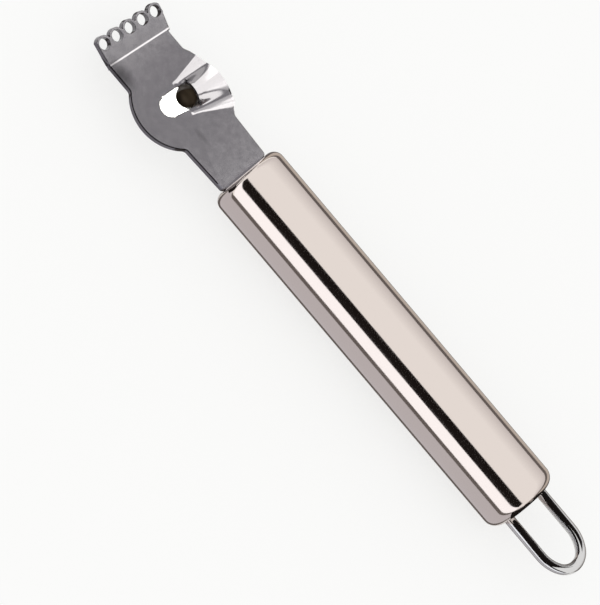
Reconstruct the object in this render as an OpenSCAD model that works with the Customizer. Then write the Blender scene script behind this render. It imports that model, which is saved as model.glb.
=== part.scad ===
// Citrus zester: a five-hole zesting tip and a channel knife on one stamped blade,
// in a round tube handle with a wire hanging loop. It lies face up on its handle.
// +Y points from the loop to the tip, +X to the fluted side, +Z up, and z = 0 is the table.

/* [Handle] */
// Outer diameter of the handle tube
handle_d = 19; // [16:0.5:24]
// Length of the handle between its two end faces
handle_len = 101; // [80:1:130]
// Wall of the handle tube
tube_wall = 0.8; // [0.5:0.1:1.5]
// Radius of the front cap's rounded shoulder
front_shoulder_r = 2.6; // [1.8:0.1:3.4]
// Radius of the rear cap's rounded shoulder
rear_shoulder_r = 3.2; // [1.8:0.1:3.6]
// Wall of both drawn end caps
cap_wall = 1; // [0.6:0.1:1.5]
// Gap left around the tang and each wire leg for the weld
weld_gap = 0.03; // [0.02:0.01:0.1]

/* [Hanging loop] */
// Wire diameter of the loop
wire_d = 2.6; // [2:0.1:3.2]
// Distance between the middles of the two legs
leg_spacing = 10.8; // [9.5:0.1:11.2]
// How far the loop reaches past the handle
loop_reach = 19.9; // [16:0.1:30]
// Radius of each side bend, at the middle of the wire
side_bend_r = 9; // [7:0.5:12]
// Angle that each side bend turns
side_bend_deg = 35; // [20:1:45]
// How far the legs go past the inside of the rear cap
leg_tail = 4; // [1:0.5:8]

/* [Blade sheet] */
// Thickness of the blade sheet
sheet_t = 1.8; // [1.2:0.1:2]
// How far the middle of the sheet lies below the handle's axis
sheet_drop = 0.2; // [0:0.1:0.6]
// Width of the tang inside the handle
tang_w = 11.6; // [9:0.1:12]
// Length of the tang inside the handle
tang_len = 26; // [15:1:40]
// Width of the neck at the handle
neck_base_w = 14.5; // [12.5:0.1:15.5]
// Width of the neck where the lobe begins
neck_top_w = 15.5; // [13:0.1:16.5]
// Length of the neck
neck_len = 11.8; // [8:0.1:20]

/* [Lobe] */
// Radius of the lobe's round side
lobe_r = 12.1; // [11:0.1:13]
// Sideways place of the lobe's centre
lobe_x = -0.6; // [-1.5:0.1:0.5]
// Distance from the neck's end to the lobe's centre
lobe_rise = 10.8; // [10:0.1:12]
// How far the fluted side reaches from the handle's axis
belly_reach = 10.8; // [10:0.1:12]
// Radius of the fluted side's edge
belly_r = 30; // [20:1:60]
// Distance from the lobe's centre line down to the middle of the fluted side's edge
belly_drop = 1.2; // [0.5:0.1:2]
// Half of the height of the fluted side's edge
belly_half = 6.2; // [5.5:0.1:7]
// Distance from that middle up to where the fluted side meets the head
shoulder_rise = 9.9; // [9:0.1:11]
// Width of the head above the lobe
head_w = 17.7; // [16:0.1:19]
// Sideways place of the head's middle
head_x = -0.15; // [-1:0.05:1]
// Radius of the inner corners of the outline
inner_corner_r = 1.6; // [0.8:0.1:2.5]
// Radius of the outer corners of the outline
outer_corner_r = 0.9; // [0.4:0.1:1.5]

/* [Channel knife] */
// Sideways place of the flute's mouth
mouth_x = 3; // [2.5:0.1:3.5]
// Distance from the neck's end to the middle of the mouth
mouth_rise = 10.1; // [9.5:0.1:10.7]
// Angle that the flute leans towards the handle
flute_lean = 9; // [0:1:12]
// Rise of the flute's crest at its mouth
mouth_h = 3; // [2.2:0.1:3.6]
// Rise of the flute's crest at the rim
rim_h = 1.3; // [0.6:0.1:2]
// Half width of the flute with its folds, at the mouth
mouth_half_w = 5; // [4.6:0.1:5.4]
// Half width of the flute with its folds, at the rim
rim_half_w = 6.5; // [6:0.1:6.8]
// Fold radius beside the mouth
mouth_fold_r = 2.2; // [1.6:0.1:2.6]
// Fold radius at the rim
rim_fold_r = 4; // [3:0.1:5]
// Thickness of the sheet at the sharpened mouth
lip_t = 0.8; // [0.6:0.1:1.2]
// Length over which the folds run out beside the throat
lead_in = 3.4; // [2.5:0.1:4]
// Half width of the opening under the mouth
mouth_open_w = 3.05; // [2.6:0.05:3.3]
// Radius of the round throat
throat_r = 2.5; // [2:0.05:2.7]
// Distance from the mouth back to the throat's centre
throat_back = 1.75; // [1.4:0.05:2.2]
// Radius of the pocket under the throat
pocket_r = 3.2; // [3:0.1:3.6]
// Wall of the pocket
pocket_wall = 0.8; // [0.5:0.1:1.2]
// How far the pocket reaches behind the throat under the sheet
pocket_lap = 0.2; // [0.1:0.05:0.4]
// Height of the pocket's sill inside the flute, from the underside of the sheet
sill_h = 1.5; // [1:0.1:1.7]
// Width of the two relief slits
slit_w = 0.45; // [0.3:0.05:0.7]
// Length of each relief slit
slit_len = 1; // [0.6:0.1:1.4]
// Distance from the mouth to the scoop's round end
scoop_len = 9.3; // [8:0.1:10]
// Radius of the scoop's round end
scoop_r = 2.7; // [2.2:0.1:3]
// Depth of the scoop beside the throat
scoop_depth = 1.2; // [0.6:0.1:1.4]
// Angle of the scoop's floor
scoop_ramp = 5.5; // [4:0.5:7]

/* [Zesting tip] */
// Distance from the lobe's centre to the bend
bend_rise = 15.4; // [14:0.1:19]
// Angle that the tip is bent up
tip_bend = 12; // [5:1:25]
// Inside radius of the bend
bend_r = 3; // [0.8:0.1:5]
// Angle that the tip edge runs out of square
tip_skew = 5.8; // [0:0.1:9]
// Sideways place of the middle of the tip
tip_x = 0.2; // [-0.5:0.1:1]
// Width of the tip at the bend
tip_base_w = 18.5; // [17.5:0.1:20]
// Width of the tip at the holes
tip_w = 19.1; // [18.5:0.1:21]
// Sideways place of the middle hole on the tip
row_x = 0.35; // [0:0.05:0.6]
// Distance from the bend to the middles of the holes
hole_row = 5.3; // [4:0.1:8]
// Diameter of the zesting holes
hole_d = 2.85; // [2.2:0.05:3]
// Wall left outside each outer hole
edge_wall = 0.3; // [0.2:0.05:0.5]
// Wall of each ring at the tip edge
ring_wall = 0.6; // [0.5:0.05:0.8]

/* [Hidden] */
hole_count = 5;
arc_fn = 96;
pocket_fn = 40;
eps = 0.01;
steel = "silver";

handle_r = handle_d / 2;

// Blade heights, from the handle's axis
sheet_top = sheet_t / 2 - sheet_drop;
sheet_bottom = sheet_top - sheet_t;

// Heights along the blade, from the front face of the handle
lobe_y = neck_len + lobe_rise;
belly_y = lobe_y - belly_drop;
mouth_y = neck_len + mouth_rise;
bend_y = lobe_y + bend_rise;

// Wire loop, at the middle of the wire
leg_x = leg_spacing / 2;
end_bend_r = (leg_x - side_bend_r * (1 - cos(side_bend_deg))) / cos(side_bend_deg);
bend_start_y = -handle_len - loop_reach + wire_d / 2
    + end_bend_r * (1 - sin(side_bend_deg)) + side_bend_r * sin(side_bend_deg);

// Half width of the plain sheet that the outline is cut from
blank_w = 40;

// Steps of the swept wire
wire_sides = 24;
side_steps = 7;
end_steps = 16;

// Flute stations: the flute is made a little too long and trimmed by the outline
rim_trim = 2;
flute_len = belly_reach - mouth_x + rim_trim;
flute_steps = 24;
width_steps = 36;

// Tip
outer_bend_r = bend_r + sheet_t;
flat_to_bend = outer_bend_r * tan(tip_bend / 2);
hole_pitch = (tip_w - hole_d - 2 * edge_wall) / (hole_count - 1);
ring_r = hole_d / 2 + ring_wall;
ring_y = hole_row * cos(tip_bend);

// The whole part's box before it is centred
box_left = lobe_x - lobe_r;
box_right = belly_reach;
ring_reach = sqrt(pow(ring_r * sin(tip_skew), 2) + pow(ring_r * cos(tip_skew) * cos(tip_bend), 2));
box_front = bend_y + ((hole_count - 1) / 2 * hole_pitch - row_x) * sin(tip_skew)
    + ring_y * cos(tip_skew) + ring_reach;
box_rear = -handle_len - loop_reach;

// Places the tool's own frame in the part's frame
module on_table() {
    translate([-(box_left + box_right) / 2, -(box_front + box_rear) / 2, handle_r]) children();
}

// Turns a profile of radius and length into a shape round the handle's axis
module round_handle() {
    rotate([90, 0, 0]) rotate_extrude($fn = arc_fn) children();
}

// Half section of a drawn cup: a flat face at length 0 and a rounded shoulder down to the tube
module cap_profile(shoulder_r) {
    flat_r = handle_r - shoulder_r;
    square([flat_r, cap_wall]);
    intersection() {
        translate([flat_r, shoulder_r]) difference() {
            circle(r = shoulder_r, $fn = arc_fn);
            circle(r = shoulder_r - cap_wall, $fn = arc_fn);
        }
        translate([flat_r - eps, 0]) square([shoulder_r + eps, shoulder_r]);
    }
}

module handle_tube() {
    straight = handle_len - front_shoulder_r - rear_shoulder_r;
    color(steel) on_table() round_handle()
        translate([handle_r - tube_wall, front_shoulder_r]) square([tube_wall, straight]);
}

module front_cap() {
    color(steel) on_table() difference() {
        round_handle() cap_profile(front_shoulder_r);
        translate([-tang_w / 2 - weld_gap, -cap_wall - eps, sheet_bottom - weld_gap])
            cube([tang_w + 2 * weld_gap, cap_wall + 2 * eps, sheet_t + 2 * weld_gap]);
    }
}

module rear_cap() {
    color(steel) on_table() difference() {
        round_handle() translate([0, handle_len]) mirror([0, 1]) cap_profile(rear_shoulder_r);
        for (side = [-1, 1]) translate([side * leg_x, -handle_len + rear_shoulder_r, 0])
            rotate([90, 0, 0])
                cylinder(d = wire_d + 2 * weld_gap, h = rear_shoulder_r + eps, $fn = arc_fn);
    }
}

// Middle line of the wire: the right leg, then the three bends to the left leg
function loop_path() =
    let (leg_top_y = -handle_len + cap_wall + leg_tail,
         end_y = bend_start_y - (side_bend_r - end_bend_r) * sin(side_bend_deg))
    concat(
        [[leg_x, leg_top_y]],
        [for (i = [0:side_steps - 1]) let (a = side_bend_deg * i / side_steps)
            [leg_x - side_bend_r + side_bend_r * cos(a), bend_start_y - side_bend_r * sin(a)]],
        [for (i = [0:end_steps]) let (a = blend(-side_bend_deg, side_bend_deg - 180, i / end_steps))
            [end_bend_r * cos(a), end_y + end_bend_r * sin(a)]],
        [for (i = [side_steps - 1:-1:0]) let (a = side_bend_deg * i / side_steps)
            [side_bend_r - leg_x - side_bend_r * cos(a), bend_start_y - side_bend_r * sin(a)]],
        [[-leg_x, leg_top_y]]);

module hanging_loop() {
    path = loop_path();
    last = len(path) - 1;
    rings = [for (i = [0:last])
        let (before = path[max(0, i - 1)], after = path[min(last, i + 1)],
             run = (after - before) / norm(after - before))
        for (k = [0:wire_sides - 1]) let (a = k * 360 / wire_sides)
            [path[i][0] + wire_d / 2 * cos(a) * run[1], path[i][1] - wire_d / 2 * cos(a) * run[0],
             wire_d / 2 * sin(a)]];
    skin = [for (i = [0:last - 1], k = [0:wire_sides - 1]) let (k2 = (k + 1) % wire_sides)
        [i * wire_sides + k, i * wire_sides + k2, (i + 1) * wire_sides + k2, (i + 1) * wire_sides + k]];
    ends = [[for (k = [wire_sides - 1:-1:0]) k], [for (k = [0:wire_sides - 1]) last * wire_sides + k]];
    color(steel) on_table() polyhedron(rings, concat(skin, ends));
}

// Half plane on the handle's side of the bend line
module below_bend(back) {
    translate([tip_x, bend_y]) rotate(-tip_skew)
        translate([-blank_w, -2 * blank_w - back]) square(2 * blank_w);
}

module raw_outline() {
    // Neck
    polygon([[-neck_base_w / 2, 0], [neck_base_w / 2, 0], [neck_top_w / 2, neck_len],
             [neck_top_w / 2, lobe_y], [-neck_top_w / 2, lobe_y], [-neck_top_w / 2, neck_len]]);
    // Round side of the lobe
    intersection() {
        translate([lobe_x, lobe_y]) circle(r = lobe_r, $fn = arc_fn);
        translate([-blank_w, 0]) square([blank_w, 2 * blank_w]);
    }
    // Fluted side of the lobe
    intersection() {
        translate([belly_reach - belly_r, belly_y]) circle(r = belly_r, $fn = 2 * arc_fn);
        polygon([[0, neck_len], [neck_top_w / 2, neck_len],
                 [belly_reach, belly_y - belly_half], [belly_reach + 1, belly_y],
                 [belly_reach, belly_y + belly_half], [head_x + head_w / 2, belly_y + shoulder_rise],
                 [0, belly_y + shoulder_rise]]);
    }
    // Head, up to the bend
    translate([head_x - head_w / 2, lobe_y]) square([head_w, 2 * bend_rise]);
}

module flat_outline() {
    intersection() {
        offset(r = -inner_corner_r, $fn = 48) offset(r = inner_corner_r + outer_corner_r, $fn = 48)
            offset(delta = -outer_corner_r) raw_outline();
        below_bend(flat_to_bend - eps);
    }
}

module tang() {
    translate([-tang_w / 2, -tang_len, sheet_bottom]) cube([tang_w, tang_len + 1, sheet_t]);
}

// Frame of the flute: x runs from the mouth to the rim
module flute_frame() {
    translate([mouth_x, mouth_y, 0]) rotate([0, 0, -flute_lean]) children();
}

function blend(a, b, q) = a + (b - a) * q;
function ease(q) = q * q * (3 - 2 * q);
// Share of the way from the mouth to the rim, and from the run-out to the mouth
function rimward(s) = max(0, s) / flute_len;
function leadward(s) = ease(min(1, 1 + s / lead_in));
function half_w(s) = blend(mouth_half_w, rim_half_w, s / flute_len);
function crest_h(s) = blend(mouth_h, rim_h, rimward(s)) * leadward(s);
function fold_r(s) = blend(mouth_fold_r, rim_fold_r, rimward(s));
// Rise of a bead of crest height h and half width a: a crest arc between two fold arcs of radius f
function bead_h(w, h, a, f) =
    h < eps ? 0 :
    let (both = (a * a + h * h) / (2 * h), crest = both - f, meet = crest * a / both)
    abs(w) <= meet ? h - crest + sqrt(crest * crest - w * w)
                   : f - sqrt(max(0, f * f - pow(a - abs(w), 2)));
function rise(s, w) = bead_h(w, crest_h(s), half_w(s), fold_r(s));
function local_t(s, w) = blend(sheet_t, lip_t, (1 - rimward(s)) * rise(s, w) / mouth_h);

flute_rows = [for (i = [0:flute_steps]) blend(-lead_in, flute_len, i / flute_steps)];
row_len = width_steps + 1;
function across(s, j) = half_w(s) * sin(blend(-90, 90, j / width_steps));

module flute_sheet() {
    top = [for (s = flute_rows, j = [0:width_steps])
        let (w = across(s, j)) [s, w, sheet_top + rise(s, w)]];
    bottom = [for (s = flute_rows, j = [0:width_steps])
        let (w = across(s, j)) [s, w, sheet_top + rise(s, w) - local_t(s, w)]];
    n = len(top);
    last = n - row_len;
    cells = [for (i = [0:flute_steps - 1], j = [0:width_steps - 1]) i * row_len + j];
    faces = concat(
        [for (k = cells) [k, k + 1, k + row_len + 1]],
        [for (k = cells) [k, k + row_len + 1, k + row_len]],
        [for (k = cells) [n + k, n + k + row_len + 1, n + k + 1]],
        [for (k = cells) [n + k, n + k + row_len, n + k + row_len + 1]],
        [for (j = [0:width_steps - 1]) [j, n + j, n + j + 1, j + 1]],
        [for (j = [0:width_steps - 1]) [last + j + 1, n + last + j + 1, n + last + j, last + j]],
        [for (i = [0:flute_steps - 1]) let (k = i * row_len)
            [k, k + row_len, n + k + row_len, n + k]],
        [for (i = [0:flute_steps - 1]) let (k = i * row_len + width_steps)
            [k + row_len, k, n + k, n + k + row_len]]);
    polyhedron(concat(top, bottom), faces);
}

module flute_footprint() {
    polygon([[-lead_in, -half_w(-lead_in)], [flute_len, -half_w(flute_len)],
             [flute_len, half_w(flute_len)], [-lead_in, half_w(-lead_in)]]);
}

// What the channel knife takes out of the sheet
module knife_cuts() {
    flute_frame() {
        // Opening under the mouth, down to the scoop's floor
        translate([0, 0, sheet_top - scoop_depth]) rotate([0, scoop_ramp, 0])
            mirror([1, 0, 0]) linear_extrude(mouth_h + sheet_t) hull() {
                translate([scoop_len - scoop_r, 0]) circle(r = scoop_r, $fn = 48);
                translate([0, -mouth_open_w]) square([throat_back, 2 * mouth_open_w]);
            }
        // Round throat
        translate([-throat_back, 0, sheet_bottom - eps])
            cylinder(r = throat_r, h = sheet_t, $fn = arc_fn);
        // Relief slits at both ends of the mouth
        for (side = [-1, 1]) translate([-slit_w, side * mouth_open_w - slit_len / 2, sheet_bottom - eps])
            cube([slit_w, slit_len, sheet_t + mouth_h]);
    }
}

// Drawn pocket under the throat: a round bowl, with a low sill under the flute that holds a curl of peel
module throat_pocket() {
    sill_start = pocket_middle() + lip_t / 2;
    flute_frame() translate([-pocket_middle(), 0, sheet_bottom]) difference() {
        rotate_extrude($fn = pocket_fn) difference() {
            bowl_profile(pocket_r + pocket_wall, sill_h);
            bowl_profile(pocket_r, sill_h + 1);
        }
        translate([sill_start - 4 * pocket_r, -2 * pocket_r, 0])
            cube([4 * pocket_r, 4 * pocket_r, sheet_t]);
    }
}

// Distance from the mouth back to the pocket's middle
function pocket_middle() = throat_back + throat_r + pocket_lap - pocket_r;

// Half section of a bowl of that radius, with a straight wall of that height above it
module bowl_profile(r, wall_h) {
    intersection() {
        circle(r = r, $fn = pocket_fn);
        translate([0, -r]) square([r, r]);
    }
    square([r, wall_h]);
}

// The formed sheet, cut to its outline in one stroke as the press does
module lobe_sheet() {
    intersection() {
        union() {
            difference() {
                translate([-blank_w, 0, sheet_bottom]) cube([2 * blank_w, 2 * blank_w, sheet_t]);
                flute_frame() translate([0, 0, sheet_bottom - 1])
                    linear_extrude(sheet_t + 2) flute_footprint();
            }
            flute_frame() flute_sheet();
        }
        translate([0, 0, sheet_bottom - 1]) linear_extrude(sheet_t + mouth_h + 2) flat_outline();
    }
}

// Flat zesting tip, drawn from the bend line along +Y
module tip_outline() {
    difference() {
        union() {
            polygon([[-tip_base_w / 2, flat_to_bend - eps], [tip_base_w / 2, flat_to_bend - eps],
                     [tip_base_w / 2, flat_to_bend + 2 * eps], [row_x + tip_w / 2, hole_row],
                     [row_x - tip_w / 2, hole_row], [-tip_base_w / 2, flat_to_bend + 2 * eps]]);
            for (i = [0:hole_count - 1]) translate([hole_x(i), hole_row]) intersection() {
                circle(r = ring_r, $fn = arc_fn);
                translate([row_x - tip_w / 2 - hole_x(i), -ring_r]) square([tip_w, 2 * ring_r]);
            }
        }
        for (i = [0:hole_count - 1]) translate([hole_x(i), hole_row]) circle(d = hole_d, $fn = arc_fn);
    }
}

function hole_x(i) = row_x + (i - (hole_count - 1) / 2) * hole_pitch;

module tip() {
    translate([tip_x, bend_y, sheet_bottom]) rotate([0, 0, -tip_skew]) {
        // Bend, turned about an axis above the sheet
        translate([-tip_base_w / 2, -flat_to_bend, outer_bend_r]) rotate([0, 90, 0])
            rotate_extrude(angle = tip_bend, $fn = 2 * arc_fn)
                translate([bend_r, 0]) square([sheet_t, tip_base_w]);
        rotate([tip_bend, 0, 0]) linear_extrude(sheet_t) tip_outline();
    }
}

module blade() {
    color("gray") on_table() {
        difference() {
            lobe_sheet();
            knife_cuts();
        }
        throat_pocket();
        tang();
        tip();
    }
}

blade();
handle_tube();
front_cap();
rear_cap();
hanging_loop();
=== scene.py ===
# Citrus zester: stamped steel blade, round tube handle and wire loop, lying on a pale table.
# Lengths are written in millimetres, and mm() turns them into Blender's metres.
import math

import bmesh
import bpy
from mathutils import Matrix, Vector


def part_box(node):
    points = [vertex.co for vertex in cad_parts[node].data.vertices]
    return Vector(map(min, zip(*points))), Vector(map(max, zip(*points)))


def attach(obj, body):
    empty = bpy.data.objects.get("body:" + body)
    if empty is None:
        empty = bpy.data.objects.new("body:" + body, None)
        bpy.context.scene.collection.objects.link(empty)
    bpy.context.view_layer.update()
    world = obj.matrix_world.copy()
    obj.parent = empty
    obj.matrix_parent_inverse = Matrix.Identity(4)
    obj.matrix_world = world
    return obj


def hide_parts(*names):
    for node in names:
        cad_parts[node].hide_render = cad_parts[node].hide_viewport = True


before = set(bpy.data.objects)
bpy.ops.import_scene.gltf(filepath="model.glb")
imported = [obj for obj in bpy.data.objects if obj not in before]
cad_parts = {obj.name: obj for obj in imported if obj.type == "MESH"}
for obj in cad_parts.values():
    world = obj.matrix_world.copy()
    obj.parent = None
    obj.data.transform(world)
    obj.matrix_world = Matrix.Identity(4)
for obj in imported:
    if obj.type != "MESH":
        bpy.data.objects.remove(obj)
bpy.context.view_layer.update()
print("frame loaded")


def mm(*lengths):
    scaled = [length / 1000 for length in lengths]
    return scaled[0] if len(scaled) == 1 else Vector(scaled)


# The handle's own line: its middle, both end faces and its radius, read from the frame
tubeLow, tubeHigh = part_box("handle_tube")
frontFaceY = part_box("front_cap")[1].y
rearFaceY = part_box("rear_cap")[0].y
handleAxis = Vector(((tubeLow.x + tubeHigh.x) / 2, 0, (tubeLow.z + tubeHigh.z) / 2))
frontMiddle = handleAxis + Vector((0, frontFaceY, 0))  # every place on the blade is counted from here
handleR = (tubeHigh.x - tubeLow.x) / 2


# Materials

def srgb(hexColour):
    parts = [int(hexColour[i:i + 2], 16) / 255 for i in (1, 3, 5)]
    linear = [c / 12.92 if c <= 0.04045 else ((c + 0.055) / 1.055) ** 2.4 for c in parts]
    return (*linear, 1)


def addNode(tree, kind, settings=None, links=None):
    # A key is one of the node's own settings, or an input by its name or number
    node = tree.nodes.new(kind)
    for key, value in (settings or {}).items():
        if isinstance(key, int) or key in node.inputs:
            node.inputs[key].default_value = value
        else:
            setattr(node, key, value)
    for key, output in (links or {}).items():
        tree.links.new(output, node.inputs[key])
    return node


def newMaterial(name):
    material = bpy.data.materials.new(name)
    material.use_nodes = True
    material.node_tree.nodes.clear()
    return material, material.node_tree


def softShade(tree, place, middle, size, depth, core=0):
    # Darkest in the core of an ellipsoid of that size, gone at its rim; the core is a share of the size
    spot = frontMiddle + mm(*middle)
    offset = addNode(tree, "ShaderNodeVectorMath", {"operation": "SUBTRACT", 1: spot}, {0: place})
    scaled = addNode(tree, "ShaderNodeVectorMath", {"operation": "DIVIDE", 1: mm(*size)},
                     {0: offset.outputs["Vector"]})
    reach = addNode(tree, "ShaderNodeVectorMath", {"operation": "LENGTH"}, {0: scaled.outputs["Vector"]})
    tone = addNode(tree, "ShaderNodeMapRange",
                   {"interpolation_type": "SMOOTHSTEP", "From Min": core, "From Max": 1,
                    "To Min": 1 - depth, "To Max": 1}, {"Value": reach.outputs["Value"]})
    return tone.outputs["Result"]


def steelMaterial(look):
    # Real polishing lines lie about 0.02 mm apart, too fine to show, so each grain is drawn coarser
    material, tree = newMaterial(look["name"])
    place = addNode(tree, "ShaderNodeTexCoord").outputs["Object"]
    along = addNode(tree, "ShaderNodeMapping", {"Scale": [1 / mm(size) for size in look["grain"]]},
                    {"Vector": place})
    grain = addNode(tree, "ShaderNodeTexNoise", {"Scale": 1, "Detail": 3, "Roughness": 0.6},
                    {"Vector": along.outputs["Vector"]})
    low, high = look["roughness"]
    roughness = addNode(tree, "ShaderNodeMapRange",
                        {"From Min": 0.3, "From Max": 0.7, "To Min": low, "To Max": high},
                        {"Value": grain.outputs["Fac"]})
    colour = srgb(look["colour"])
    steel = addNode(tree, "ShaderNodeBsdfPrincipled", {"Base Color": colour, "Metallic": 1},
                    {"Roughness": roughness.outputs["Result"]})
    shade = None
    for mark in look.get("shades", ()):
        tone = softShade(tree, place, *mark)
        if shade:
            tone = addNode(tree, "ShaderNodeMath", {"operation": "MULTIPLY"},
                           {0: shade, 1: tone}).outputs["Value"]
        shade = tone
    if shade:
        toned = addNode(tree, "ShaderNodeVectorMath", {"operation": "MULTIPLY", 0: colour[:3]}, {1: shade})
        tree.links.new(toned.outputs["Vector"], steel.inputs["Base Color"])
    # Painted shade: the throat's round middle takes a dark brown colour, fading out towards its rim
    if "paintedShadeMiddle" in look:
        dark = look["paintedShadeMiddle"]
        clear = softShade(tree, place, dark["middle"], dark["size"], 1, dark["core"])
        spotted = addNode(tree, "ShaderNodeMixRGB", {"Color1": srgb(dark["colour"]), "Color2": colour},
                          {"Fac": clear})
        tree.links.new(spotted.outputs["Color"], steel.inputs["Base Color"])
    addNode(tree, "ShaderNodeOutputMaterial", links={"Surface": steel.outputs["BSDF"]})
    return material


# Polished stainless tube: drawn, then buffed along its length, so stripes of light stay sharp
polishedSteel = steelMaterial({
    "name": "polished stainless steel, buffed",
    "colour": "#e3d8d1",
    "grain": (0.7, 11, 0.7),
    "roughness": (0.07, 0.11),
})
# Drawn stainless wire: as bright as the tube but without its warm cast
wireSteel = steelMaterial({
    "name": "drawn stainless steel wire",
    "colour": "#d6d5d4",
    "grain": (0.7, 5, 0.7),
    "roughness": (0.08, 0.13),
})
# Fine satin stainless sheet: belt ground and tumbled, so it is darker and softer than the tube
satinSteel = steelMaterial({
    "name": "satin stainless steel, tumbled sheet",
    "colour": "#716e72",
    "grain": (1.4, 1.4, 1.4),
    "roughness": (0.1, 0.14),
    # Middle, size and depth: darker patches at the head's left corner and on the neck,
    # and a painted shade on the bend's left end that dims the bend's highlight there
    "shades": (
        ((-8.2, 35.6, 0.7), (3.2, 6, 6), 0.6),
        ((-2.6, 12.8, 0.7), (1.1, 3.2, 3), 0.3),
        ((-9.6, 38.75, 0.75), (5, 0.9, 0.9), 0.45),
    ),
})
# Freshly ground steel: the scoop ahead of the throat is the brightest place on the blade
groundSteel = steelMaterial({
    "name": "bright ground steel of the scoop",
    "colour": "#f2f0ef",
    "grain": (3.3, 0.5, 0.5),
    "roughness": (0.14, 0.2),
})
# Around the throat the wheel still reaches; its round middle is painted dark brown as shade of the hollow
# throat
throatSteel = steelMaterial({
    "name": "ground steel with a painted throat shade",
    "colour": "#f2f0ef",
    "grain": (1.1, 1.1, 1.1),
    "roughness": (0.4, 0.5),
    "paintedShadeMiddle": {"middle": (2.3, 21.9, -1.2), "size": (3.07, 2.7, 9), "core": 0.86, "colour": "#564b3e"},
})
print("materials made")


# Helpers for the pieces

nearby = 0.01  # places closer than this count as one when edges and faces are picked
weld = {"copiedNode": 0.001, "newPiece": 0.002}  # doubles closer than this are merged


def finishPiece(bm, name, materials, nodes, sharpDeg=30):
    mesh = bpy.data.meshes.new(name)
    bm.to_mesh(mesh)
    bm.free()
    mesh.shade_smooth()
    mesh.set_sharp_from_angle(angle=math.radians(sharpDeg))
    for material in materials:
        mesh.materials.append(material)
    piece = bpy.data.objects.new(name, mesh)
    bpy.context.scene.collection.objects.link(piece)
    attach(piece, "root")
    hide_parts(*nodes)
    return piece


def mergeAndOrient(bm):
    bmesh.ops.remove_doubles(bm, verts=bm.verts, dist=mm(weld["newPiece"]))
    bmesh.ops.recalc_face_normals(bm, faces=bm.faces)


def copyNode(node):
    bm = bmesh.new()
    bm.from_mesh(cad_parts[node].data)
    bmesh.ops.remove_doubles(bm, verts=bm.verts, dist=mm(weld["copiedNode"]))
    bmesh.ops.dissolve_degenerate(bm, edges=bm.edges, dist=mm(weld["copiedNode"]))
    return bm


# Handle: a plain tube between two drawn cups

handle = {
    "sides": 160,
    "tubeWall": 0.8,
    "frontShoulderR": 2.6,
    "rearShoulderR": 3.2,
    "capWall": 1.0,
    "shoulderSteps": 12,
    "shoulderShare": 0.999,  # the bevel stops just short of the cup's full depth
}


def alongHandle(y):
    return Matrix.Translation((handleAxis.x, y, handleAxis.z)) @ Matrix.Rotation(math.pi / 2, 4, "X")


def makeTube():
    bm = bmesh.new()
    length = tubeHigh.y - tubeLow.y
    middle = (tubeHigh.y + tubeLow.y) / 2
    bmesh.ops.create_cone(bm, cap_ends=False, segments=handle["sides"], radius1=handleR, radius2=handleR,
                          depth=length, matrix=alongHandle(middle))
    mergeAndOrient(bm)
    bmesh.ops.solidify(bm, geom=bm.faces[:], thickness=mm(handle["tubeWall"]))
    finishPiece(bm, "handleTube", [polishedSteel], ["handle_tube"])


def makeCap(name, node, faceY, facing, shoulderR):
    # A short closed cylinder loses its inner end, then its outer rim is rounded to the full depth
    bm = bmesh.new()
    depth = mm(shoulderR)
    innerY = faceY - facing * depth
    bmesh.ops.create_cone(bm, cap_ends=True, segments=handle["sides"], radius1=handleR, radius2=handleR,
                          depth=depth, matrix=alongHandle((faceY + innerY) / 2))
    inner = [f for f in bm.faces if abs(f.calc_center_median().y - innerY) < mm(nearby)]
    bmesh.ops.delete(bm, geom=inner, context="FACES")
    rim = [e for e in bm.edges if all(abs(v.co.y - faceY) < mm(nearby) for v in e.verts)]
    bmesh.ops.bevel(bm, geom=rim, offset=depth * handle["shoulderShare"], offset_type="OFFSET",
                    segments=handle["shoulderSteps"], profile=0.5, affect="EDGES", material=-1)
    mergeAndOrient(bm)
    bmesh.ops.solidify(bm, geom=bm.faces[:], thickness=mm(handle["capWall"]))
    finishPiece(bm, name, [polishedSteel], [node])


makeTube()
makeCap("frontCap", "front_cap", frontFaceY, 1, handle["frontShoulderR"])
makeCap("rearCap", "rear_cap", rearFaceY, -1, handle["rearShoulderR"])
print("handle made")


# Blade: the frame's own form, its flats joined to whole faces, its cut edges eased

blade = {
    "topZ": 0.7,
    "flatUp": 0.9999,  # a face of the flat top points up at least this much
    "anyUp": 0.3,  # a face of the upper side points up at least this much
    "flatDeg": 0.05,  # faces flatter to each other than this become one
    "flatWeight": 80,
    # Cut edges are eased, but not inside the handle, round the mouth or at the flute's rim
    "easing": 0.2,
    "easingSteps": 1,
    "easedOverDeg": 40,
    "ringsFromY": 40,
    "ringEasing": 0.4,
    "mouthReach": 7.5,
    "fluteRimFrom": 3,
    "fluteRimHalfW": 8,
    # The mouth of the channel knife, the throat before it and the ground scoop
    "mouth": (3, 21.9),
    "throat": (1.25, 21.9),
    "throatR": 4.2,
    "throatTopZ": -0.55,
    "scoopDepth": 1.25,
    "scoopLeft": -6.5,
    "scoopReach": 10,
    # The lip of the flute, drawn back over the throat
    "lipFrom": 0.02,
    "lipTo": 0.43,
    "lipHalfW": 3.0,
    "lipLowZ": 0.6,
    "lipEdge": -0.55,
    "crestFall": 0.17,
    # The flute leans this far from square; its half width grows along it
    "fluteLeanDeg": 9,
    "fluteHalfW": 5,
    "fluteSpread": 0.153,
    "fluteFoldR": 3.2,
    # The pressing also lifts a narrow strip of the flat, the foot, on both sides of the flute
    "footW": 0.3,
    "footFullW": 0.5,
    "footSpread": 0.19,
    "footSlope": 0.17,
    "footSettles": 0.05,
    "footEndsY": 32,
    "footRows": 5,
    "footColumns": 13,
    "footColumnsBefore": 2,  # so many of them lie ahead of the mouth
    "footStep": 0.8,
    "cutSnap": 0.0005,
}


def fromFrontFace(point):
    return (point - frontMiddle) * 1000


def flatDistance(place, spot):
    return math.hypot(place.x - spot[0], place.y - spot[1])


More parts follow.
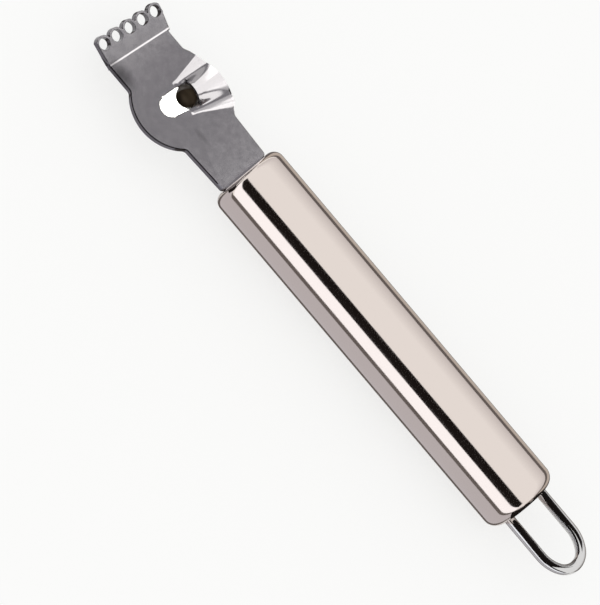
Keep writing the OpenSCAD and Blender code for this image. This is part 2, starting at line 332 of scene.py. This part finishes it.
def alongFlute(place):
    # A place in the flute's own frame: s along it from the mouth, w across it
    lean = math.radians(blade["fluteLeanDeg"])
    dx = place.x - blade["mouth"][0]
    dy = place.y - blade["mouth"][1]
    return dx * math.cos(lean) - dy * math.sin(lean), dx * math.sin(lean) + dy * math.cos(lean)


def fromFlute(s, w):
    lean = math.radians(blade["fluteLeanDeg"])
    x = blade["mouth"][0] + s * math.cos(lean) + w * math.sin(lean)
    y = blade["mouth"][1] - s * math.sin(lean) + w * math.cos(lean)
    return x, y


def drawLip(bm):
    for v in bm.verts:
        place = fromFrontFace(v.co)
        s, w = alongFlute(place)
        onLip = blade["lipFrom"] < s < blade["lipTo"] and abs(w) < blade["lipHalfW"]
        if onLip and place.z > blade["lipLowZ"]:
            x, y = fromFlute(blade["lipEdge"], w)
            v.co.x = frontMiddle.x + mm(x)
            v.co.y = frontMiddle.y + mm(y)
            v.co.z += mm(blade["crestFall"] * (s - blade["lipEdge"]))


def flatTop(bm):
    return [f for f in bm.faces if f.normal.z > blade["flatUp"]
            and abs(fromFrontFace(f.calc_center_median()).z - blade["topZ"]) < nearby]


def cutTop(bm, s, w, direction):
    # Cuts the flat top along a line of the flute's own frame
    x, y = fromFlute(s, w)
    run = Matrix.Rotation(-math.radians(blade["fluteLeanDeg"]), 2) @ Vector(direction)
    faces = flatTop(bm)
    parts = faces + list({e for f in faces for e in f.edges}) + list({v for f in faces for v in f.verts})
    bmesh.ops.bisect_plane(bm, geom=parts, dist=mm(blade["cutSnap"]), plane_no=(-run.y, run.x, 0),
                           plane_co=frontMiddle + mm(x, y, 0))


def footRise(s, w):
    # Outside the flute's fold the strip climbs evenly, inside it the rise rounds over and settles
    strip = max(blade["footW"] + blade["footSpread"] * s, 0)
    share = min(strip / blade["footFullW"], 1)
    inside = blade["fluteHalfW"] + blade["fluteSpread"] * s - abs(w)
    if inside <= 0:
        return blade["footSlope"] * max(strip + inside, 0)
    turn = (blade["footSlope"] + blade["footSettles"]) * blade["fluteFoldR"]
    run = min(inside, turn)
    top = blade["footSlope"] * (strip + share * run) - share * run * run / (2 * blade["fluteFoldR"])
    return max(top - blade["footSettles"] * (inside - run), 0)


def liftFoot(bm):
    for side in (-1, 1):
        for row in range(blade["footRows"]):
            share = row / (blade["footRows"] - 1)
            w = blade["fluteHalfW"] + blade["footW"] * share
            spread = blade["fluteSpread"] + blade["footSpread"] * share
            cutTop(bm, 0, side * w, (1, side * spread))
    for column in range(blade["footColumns"]):
        cutTop(bm, blade["footStep"] * (column - blade["footColumnsBefore"]), 0, (0, 1))
    for v in {v for f in bm.faces if f.normal.z > blade["anyUp"] for v in f.verts}:
        place = fromFrontFace(v.co)
        if place.z > blade["topZ"] - nearby and place.y < blade["footEndsY"]:
            v.co.z += mm(footRise(*alongFlute(place)))


def weighEdges(bm):
    # The full easing on the outline, less of it on the thin rings of the tip
    weight = bm.edges.layers.float.new("bevel_weight_edge")
    for edge in bm.edges:
        middle = fromFrontFace((edge.verts[0].co + edge.verts[1].co) / 2)
        s, w = alongFlute(middle)
        onRim = s > blade["fluteRimFrom"] and abs(w) < blade["fluteRimHalfW"]
        byMouth = flatDistance(middle, blade["mouth"]) <= blade["mouthReach"]
        sharp = edge.calc_face_angle(0) > math.radians(blade["easedOverDeg"])
        if sharp and middle.y > 0 and not onRim and not byMouth:
            edge[weight] = blade["ringEasing"] if middle.y > blade["ringsFromY"] else 1


def bladeFinish(face):
    # 0 satin sheet, 1 ground scoop, 2 throat
    place = fromFrontFace(face.calc_center_median())
    if flatDistance(place, blade["throat"]) < blade["throatR"] and place.z < blade["throatTopZ"]:
        return 2
    inReach = flatDistance(place, blade["mouth"]) < blade["scoopReach"]
    inWidth = blade["scoopLeft"] < place.x < blade["mouth"][0]
    inDepth = blade["topZ"] - blade["scoopDepth"] < place.z < blade["topZ"] - nearby
    return 1 if inReach and inWidth and inDepth else 0


def makeBlade():
    bm = copyNode("blade")
    drawLip(bm)
    liftFoot(bm)
    bm.normal_update()
    bmesh.ops.dissolve_limit(bm, angle_limit=math.radians(blade["flatDeg"]), use_dissolve_boundaries=False,
                             verts=bm.verts, edges=bm.edges)
    weighEdges(bm)
    for face in bm.faces:
        face.material_index = bladeFinish(face)
    piece = finishPiece(bm, "blade", [satinSteel, groundSteel, throatSteel], ["blade"],
                        blade["easedOverDeg"])
    easing = piece.modifiers.new("eased edges", "BEVEL")
    easing.width = mm(blade["easing"])
    easing.segments = blade["easingSteps"]
    easing.limit_method = "WEIGHT"
    easing.use_clamp_overlap = False
    easing.mark_sharp = True
    flats = piece.modifiers.new("true flats", "WEIGHTED_NORMAL")
    flats.weight = blade["flatWeight"]
    flats.keep_sharp = True
    return piece


bladePiece = makeBlade()
print("blade made")


# Hanging loop: one wire, bent three times, as the frame has it

loop = {"sharpOverDeg": 60}  # the wire is swept in straight steps, so it is shaded over them
finishPiece(copyNode("hanging_loop"), "hangingLoop", [wireSteel], ["hanging_loop"],
            loop["sharpOverDeg"])
print("loop made")


# Stage: pale table, cards that only the steel sees, soft boxes for the channel knife

studio = {
    "tableSize": 3000,
    "tableColour": "#fbfbfa",
    "tableOwnLight": 0.75,
    "cardDistance": 500,
    "cardReachY": 1200,
    "fadingCard": ((40, 93), "#ffffff", "#d6d3d4"),
    "paperHeight": 0.3,
    "paperEndY": 90,
    "boxAim": (7, 21.9, 0),
    "boxColour": (0.98, 1, 0.92),
    "worldLight": 1,
}
# Colour and glow, where 1 is white
cardStock = {
    "black studio card": ("#1c1817", 1),
    "lit white card": ("#f8faff", 1.35),
    # Dark paper: the table's far edge, and next to the tool a painted contact shade
    "dark table edge and painted contact shade": ("#6b6664", 1),
    "rosy grey paper left of the tool": ("#cac8cd", 1),
    "sand grey paper right of the tool": ("#c4bcb4", 1),
}
# Cards round the handle, in degrees from straight up towards the fluted side
cards = {
    "whiteSideCard": ((-94, -58), "lit white card"),
    "blackFlag": ((-58, -30), "black studio card"),
}
# Papers just over the table, between two distances from the handle's axis; the two contact papers are
# painted shade of the table beside the tool, seen only in the steel
papers = {
    "leftContact": (-10.5, -7, "dark table edge and painted contact shade"),
    "leftPaper": (-62, -10.5, "rosy grey paper left of the tool"),
    "leftFar": (-1500, -62, "dark table edge and painted contact shade"),
    "rightContact": (5, 22, "dark table edge and painted contact shade"),
    "rightPaper": (22, 55, "sand grey paper right of the tool"),
    "rightFar": (55, 1500, "dark table edge and painted contact shade"),
}
# Small black flags: the end of the handle that they start at, their height there, their rise for each
# millimetre past it, and their outline. One darkens the wire, the other the blade's cut edge.
flags = {
    "loopFlag": (rearFaceY, 1.3, -0.218, [(-5.8, -0.5), (7, -0.5), (9, -17), (3.8, -17), (3.2, -9),
                                          (0.5, -9), (1.6, -17), (-17, -17)]),
    "edgeFlag": (frontFaceY, 0.9, 1 / 9, [(-8, 2), (-8.3, 10.5), (-13.7, 16), (-14, 28), (-11, 36),
                                          (-11.3, 47), (-24, 47), (-24, 18), (-11, 3)]),
}
# Soft boxes for the blade alone: degrees across it, degrees towards the tip, glow and distance
softBoxes = {
    "crestBox": ((36, 72), (-34, 38), 4.1, 250),
    "upperFoldBox": ((18, 48), (6, 46), 4.1, 250),
    "flankBox": ((54, 110), (40, 76), 1.3, 250),
    "tipBox": ((16, 41), (-27, -16), 0.25, 250),
    "bendBox": ((10, 45), (-17, -4), 5.2, 1000),
    "lowerFoldBox": ((8, 40), (-40, -18), 1.5, 100),
    "lowerFacetBox": ((28, 75), (-74, -44), 4.1, 250),
}


def glowMaterial(name, hexColour, glow):
    material, tree = newMaterial(name)
    shader = addNode(tree, "ShaderNodeEmission", {"Color": srgb(hexColour), "Strength": glow})
    addNode(tree, "ShaderNodeOutputMaterial", links={"Surface": shader.outputs["Emission"]})
    return material


def tableMaterial():
    # The camera sees the paper a little lighter than it is lit, so the tool's shadow stays soft on white
    material, tree = newMaterial("white table paper")
    colour = srgb(studio["tableColour"])
    lit = addNode(tree, "ShaderNodeBsdfDiffuse", {"Color": colour})
    plain = addNode(tree, "ShaderNodeEmission", {"Color": colour, "Strength": 1})
    ray = addNode(tree, "ShaderNodeLightPath")
    share = addNode(tree, "ShaderNodeMath", {"operation": "MULTIPLY", 1: studio["tableOwnLight"]},
                    {0: ray.outputs["Is Camera Ray"]})
    mixed = addNode(tree, "ShaderNodeMixShader", links={
        "Fac": share.outputs["Value"], 1: lit.outputs["BSDF"], 2: plain.outputs["Emission"]})
    addNode(tree, "ShaderNodeOutputMaterial", links={"Surface": mixed.outputs["Shader"]})
    return material


def stagePlane(name, corners, material, onlyInReflections=True):
    bm = bmesh.new()
    bm.faces.new([bm.verts.new(corner) for corner in corners])
    mesh = bpy.data.meshes.new(name)
    bm.to_mesh(mesh)
    bm.free()
    mesh.materials.append(material)
    plane = bpy.data.objects.new(name, mesh)
    bpy.context.scene.collection.objects.link(plane)
    if onlyInReflections:
        plane.visible_camera = False
        plane.visible_diffuse = False
        plane.visible_shadow = False
        plane.visible_transmission = False
    return plane


def toward(spot, xDeg, yDeg, distance):
    # xDeg turns from straight up towards the fluted side (+X), yDeg tilts towards the tip (+Y)
    x = math.radians(xDeg)
    y = math.radians(yDeg)
    return spot + Vector((math.sin(x), math.tan(y), math.cos(x))) * distance


def layTable():
    side = mm(studio["tableSize"])
    corners = [(-side, -side, 0), (side, -side, 0), (side, side, 0), (-side, side, 0)]
    stagePlane("table", corners, tableMaterial(), onlyInReflections=False)


def hangCard(name, xRange, material):
    first, last = [toward(handleAxis, deg, 0, mm(studio["cardDistance"])) for deg in xRange]
    reach = mm(studio["cardReachY"])
    corners = [(first, -reach), (first, reach), (last, reach), (last, -reach)]
    return stagePlane(name, [(end.x, y, end.z) for end, y in corners], material)


def hangFadingCard():
    # It darkens evenly from its first edge to its last, by a colour on each corner
    xRange, firstHex, lastHex = studio["fadingCard"]
    material, tree = newMaterial("fading studio card")
    tone = addNode(tree, "ShaderNodeAttribute", {"attribute_name": "tone"})
    glow = addNode(tree, "ShaderNodeEmission", {"Strength": 1}, {"Color": tone.outputs["Color"]})
    addNode(tree, "ShaderNodeOutputMaterial", links={"Surface": glow.outputs["Emission"]})
    tones = hangCard("dimSide", xRange, material).data.color_attributes.new("tone", "FLOAT_COLOR", "POINT")
    for i, hexColour in enumerate((firstHex, firstHex, lastHex, lastHex)):
        tones.data[i].color = srgb(hexColour)


def layPaper(name, xFrom, xTo, material):
    low = mm(-studio["cardReachY"])
    high = mm(studio["paperEndY"])
    corners = [(xFrom, low), (xTo, low), (xTo, high), (xFrom, high)]
    height = mm(studio["paperHeight"])
    stagePlane(name, [(handleAxis.x + mm(x), y, height) for x, y in corners], material)


def slopeFlag(name, faceY, height, rise, outline, material):
    end = handleAxis + Vector((0, faceY, 0))
    stagePlane(name, [end + mm(x, y, height + rise * y) for x, y in outline], material)


def addSoftBox(name, xRange, yRange, glow, boxDistance, lit):
    distance = mm(boxDistance)
    spot = frontMiddle + mm(*studio["boxAim"])
    middle = toward(spot, sum(xRange) / 2, sum(yRange) / 2, distance)
    box = bpy.data.lights.new(name, "AREA")
    box.shape = "RECTANGLE"
    box.size = 2 * distance * math.tan(math.radians(xRange[1] - xRange[0]) / 2)
    box.size_y = 2 * (middle - spot).length * math.tan(math.radians(yRange[1] - yRange[0]) / 2)
    box.energy = glow * math.pi * box.size * box.size_y  # so that the box itself looks glow times white
    box.color = studio["boxColour"]
    lamp = bpy.data.objects.new(name, box)
    bpy.context.scene.collection.objects.link(lamp)
    back = (middle - spot).normalized()
    across = Vector((0, 1, 0)).cross(back).normalized()
    turned = Matrix((across, back.cross(across), back)).transposed().to_4x4()
    lamp.matrix_world = Matrix.Translation(middle) @ turned
    lamp.light_linking.receiver_collection = lit


layTable()
stock = {name: glowMaterial(name, *look) for name, look in cardStock.items()}
for name, (xRange, stockName) in cards.items():
    hangCard(name, xRange, stock[stockName])
hangFadingCard()
for name, (xFrom, xTo, stockName) in papers.items():
    layPaper(name, xFrom, xTo, stock[stockName])
for name, (faceY, height, rise, outline) in flags.items():
    slopeFlag(name, faceY, height, rise, outline, stock["black studio card"])

litBlade = bpy.data.collections.new("litBlade")
litBlade.objects.link(bladePiece)
for name, (xRange, yRange, glow, distance) in softBoxes.items():
    addSoftBox(name, xRange, yRange, glow, distance, litBlade)

world = bpy.data.worlds.new("soft white room")
bpy.context.scene.world = world
world.use_nodes = True
world.node_tree.nodes.clear()
air = addNode(world.node_tree, "ShaderNodeBackground",
              {"Color": (1, 1, 1, 1), "Strength": studio["worldLight"]})
addNode(world.node_tree, "ShaderNodeOutputWorld", links={"Surface": air.outputs["Background"]})
print("stage set")


# Camera: it looks down from 27 degrees off the vertical on the blade's plain side, a little from the head,
# and is rolled until the tip points up and to the left

camera = {
    "distance": 928,
    "sideDeg": 27,
    "headDeg": 2.9,
    "rollDeg": 40.24,
    "focalPixels": 4000,
    "imageHeight": 605,
    "sensor": 36,
    "clipStart": 10,
    # What the middle of the picture looks at, from the middle of the handle's front face
    "aim": (-8.39, -31.2, -4.28),
}


def makeCamera():
    side = math.radians(camera["sideDeg"])
    head = math.radians(camera["headDeg"])
    roll = math.radians(camera["rollDeg"])
    back = Vector((-math.sin(side) * math.cos(head), math.sin(head), math.cos(side) * math.cos(head)))
    across = Vector((0, 1, 0)).cross(back).normalized()
    tipward = back.cross(across)
    right = across * math.cos(roll) - tipward * math.sin(roll)
    up = across * math.sin(roll) + tipward * math.cos(roll)
    lens = bpy.data.cameras.new("camera")
    lens.sensor_fit = "VERTICAL"
    lens.sensor_height = camera["sensor"]
    lens.lens = camera["focalPixels"] * camera["sensor"] / camera["imageHeight"]
    lens.clip_start = mm(camera["clipStart"])
    eye = bpy.data.objects.new("camera", lens)
    bpy.context.scene.collection.objects.link(eye)
    spot = frontMiddle + mm(*camera["aim"]) + back * mm(camera["distance"])
    eye.matrix_world = Matrix.Translation(spot) @ Matrix((right, up, back)).transposed().to_4x4()
    bpy.context.scene.camera = eye


makeCamera()
bpy.context.scene.view_settings.view_transform = "Standard"
print("camera placed")

bpy.context.view_layer.update()
